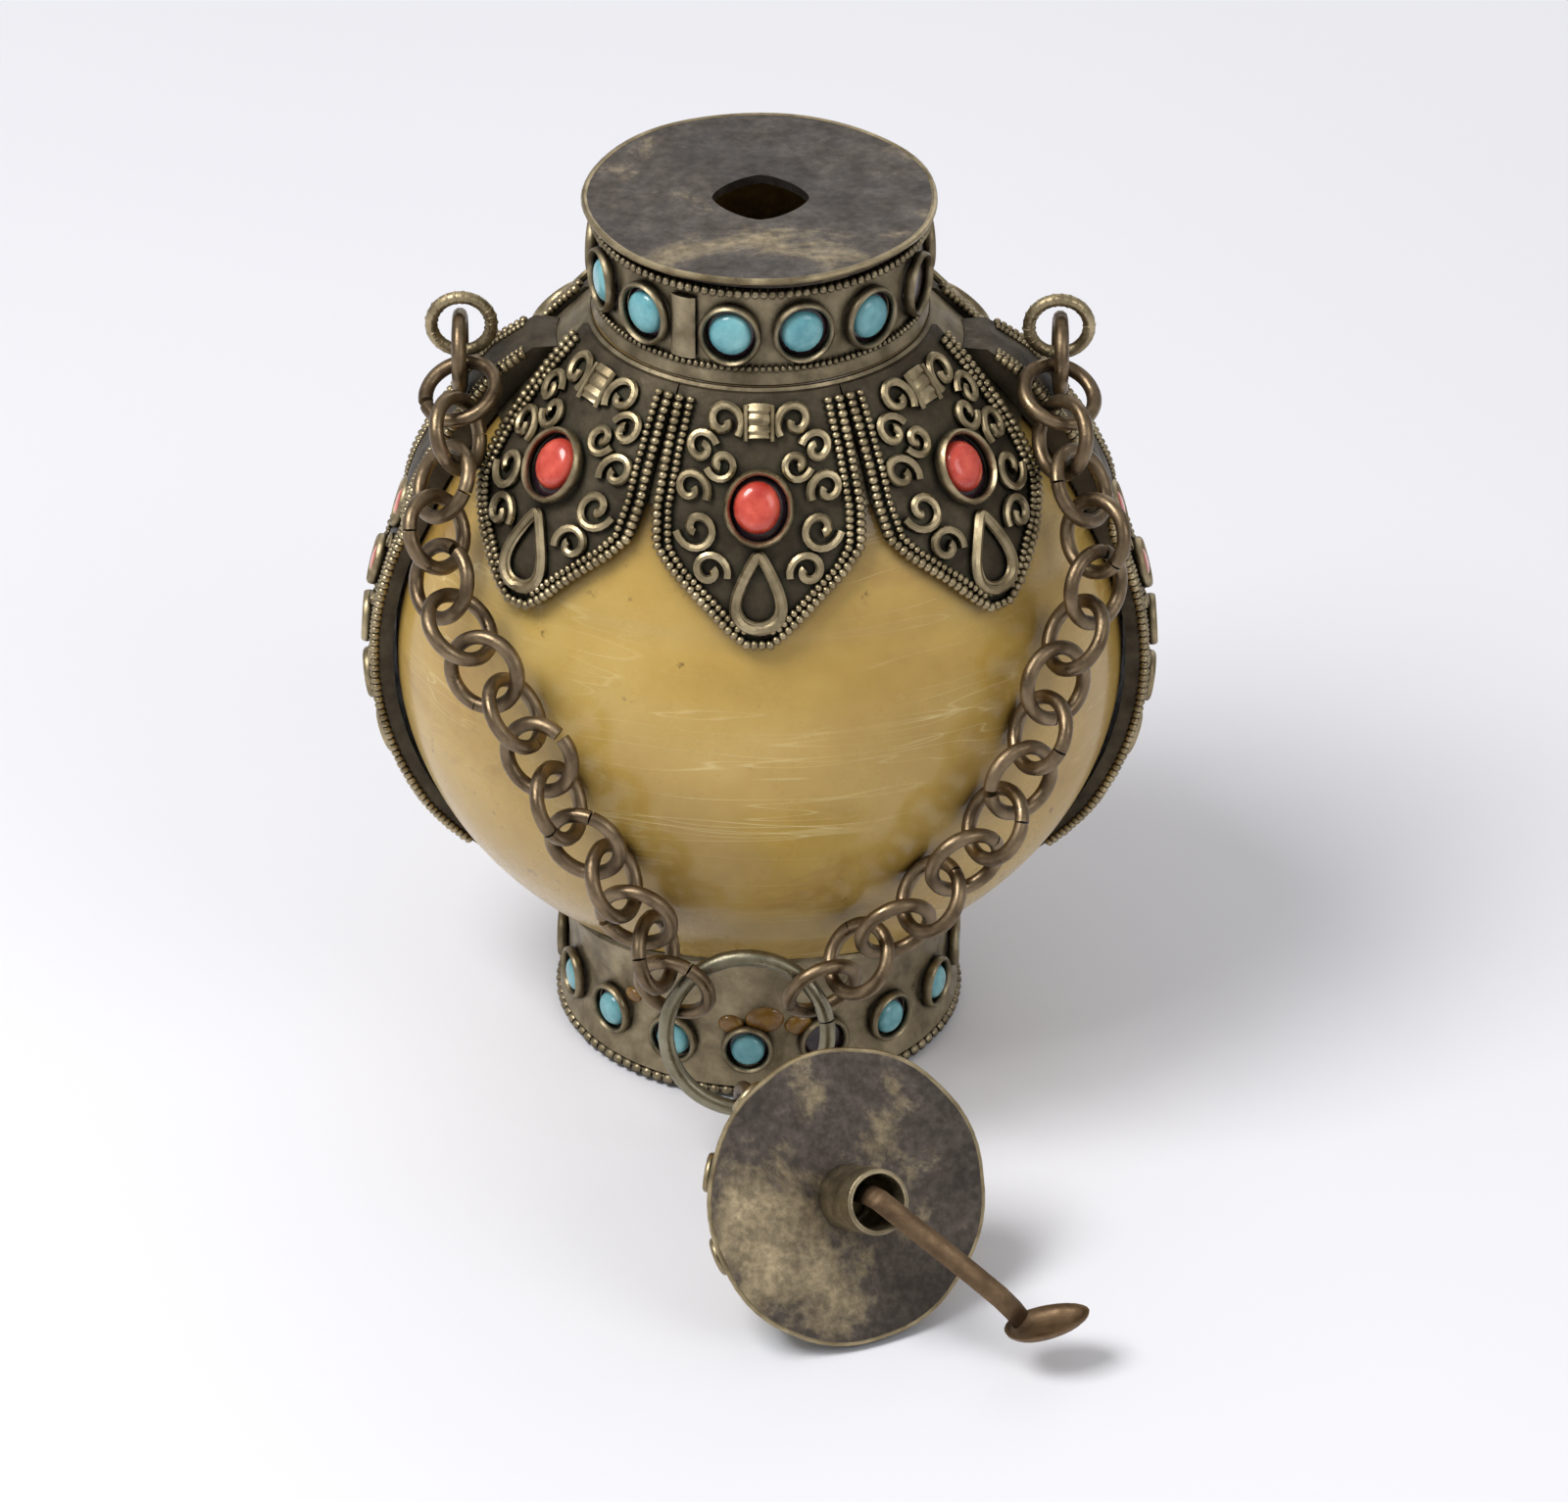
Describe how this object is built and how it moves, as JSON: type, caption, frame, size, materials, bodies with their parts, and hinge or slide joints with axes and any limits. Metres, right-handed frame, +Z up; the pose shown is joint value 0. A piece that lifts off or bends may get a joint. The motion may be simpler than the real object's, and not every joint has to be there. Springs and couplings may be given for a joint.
{
  "type": "snuff bottle",
  "caption": "Round bone bottle with filigree metal neck, foot, side bands and petals, and a cap with a spoon hung on two chains and a ring.",
  "frame": {"origin": "centre of the underside of the foot", "axes": "+Z up through the neck, front face towards -Y"},
  "size_m": [0.063, 0.0752, 0.0708],
  "materials": {
    "bone": "satin",
    "metal": "aged",
    "dark_metal": "tarnished"
  },
  "bodies": {
    "bottle": {"bone_front": "bone", "bone_back": "bone", "side_band_left": "metal", "side_band_right": "metal", "petal_front": "metal", "petal_back": "metal", "petal_front_left": "metal", "petal_front_right": "metal", "petal_back_left": "metal", "petal_back_right": "metal", "neck_wall": "metal", "neck_plate": "dark_metal", "foot_wall": "metal", "foot_plate": "metal", "left_loop": "metal", "right_loop": "metal"},
    "chain": {"left_link_01": "metal", "left_link_02": "metal", "left_link_03": "metal", "left_link_04": "metal", "left_link_05": "metal", "left_link_06": "metal", "left_link_07": "metal", "left_link_08": "metal", "left_link_09": "metal", "left_link_10": "metal", "left_link_11": "metal", "left_link_12": "metal", "left_link_13": "metal", "left_link_14": "metal", "left_link_15": "metal", "left_link_16": "metal", "right_link_01": "metal", "right_link_02": "metal", "right_link_03": "metal", "right_link_04": "metal", "right_link_05": "metal", "right_link_06": "metal", "right_link_07": "metal", "right_link_08": "metal", "right_link_09": "metal", "right_link_10": "metal", "right_link_11": "metal", "right_link_12": "metal", "right_link_13": "metal", "right_link_14": "metal", "right_link_15": "metal", "right_link_16": "metal"},
    "ring": {"carry_ring": "metal"},
    "cap": {"cap_link_1": "metal", "cap_link_2": "metal", "cap_plate": "dark_metal", "cap_dome": "metal", "cap_tube": "metal", "cap_loop": "metal", "spoon": "metal"}
  },
  "joints": [
    {"name": "chain_swing", "type": "hinge", "parent": "bottle", "child": "chain", "pos_m": [0, 0, 0.05735], "axis": [-1, 0, 0], "range_deg": [0, 30]},
    {"name": "ring_swing", "type": "hinge", "parent": "chain", "child": "ring", "pos_m": [-0.0008, -0.02262, 0.01464], "axis": [-1, 0, 0], "range_deg": [0, 10]},
    {"name": "cap_swing", "type": "hinge", "parent": "ring", "child": "cap", "pos_m": [-0.0008, -0.02488, 0.00558], "axis": [-1, 0, 0], "range_deg": [0, 20]}
  ]
}
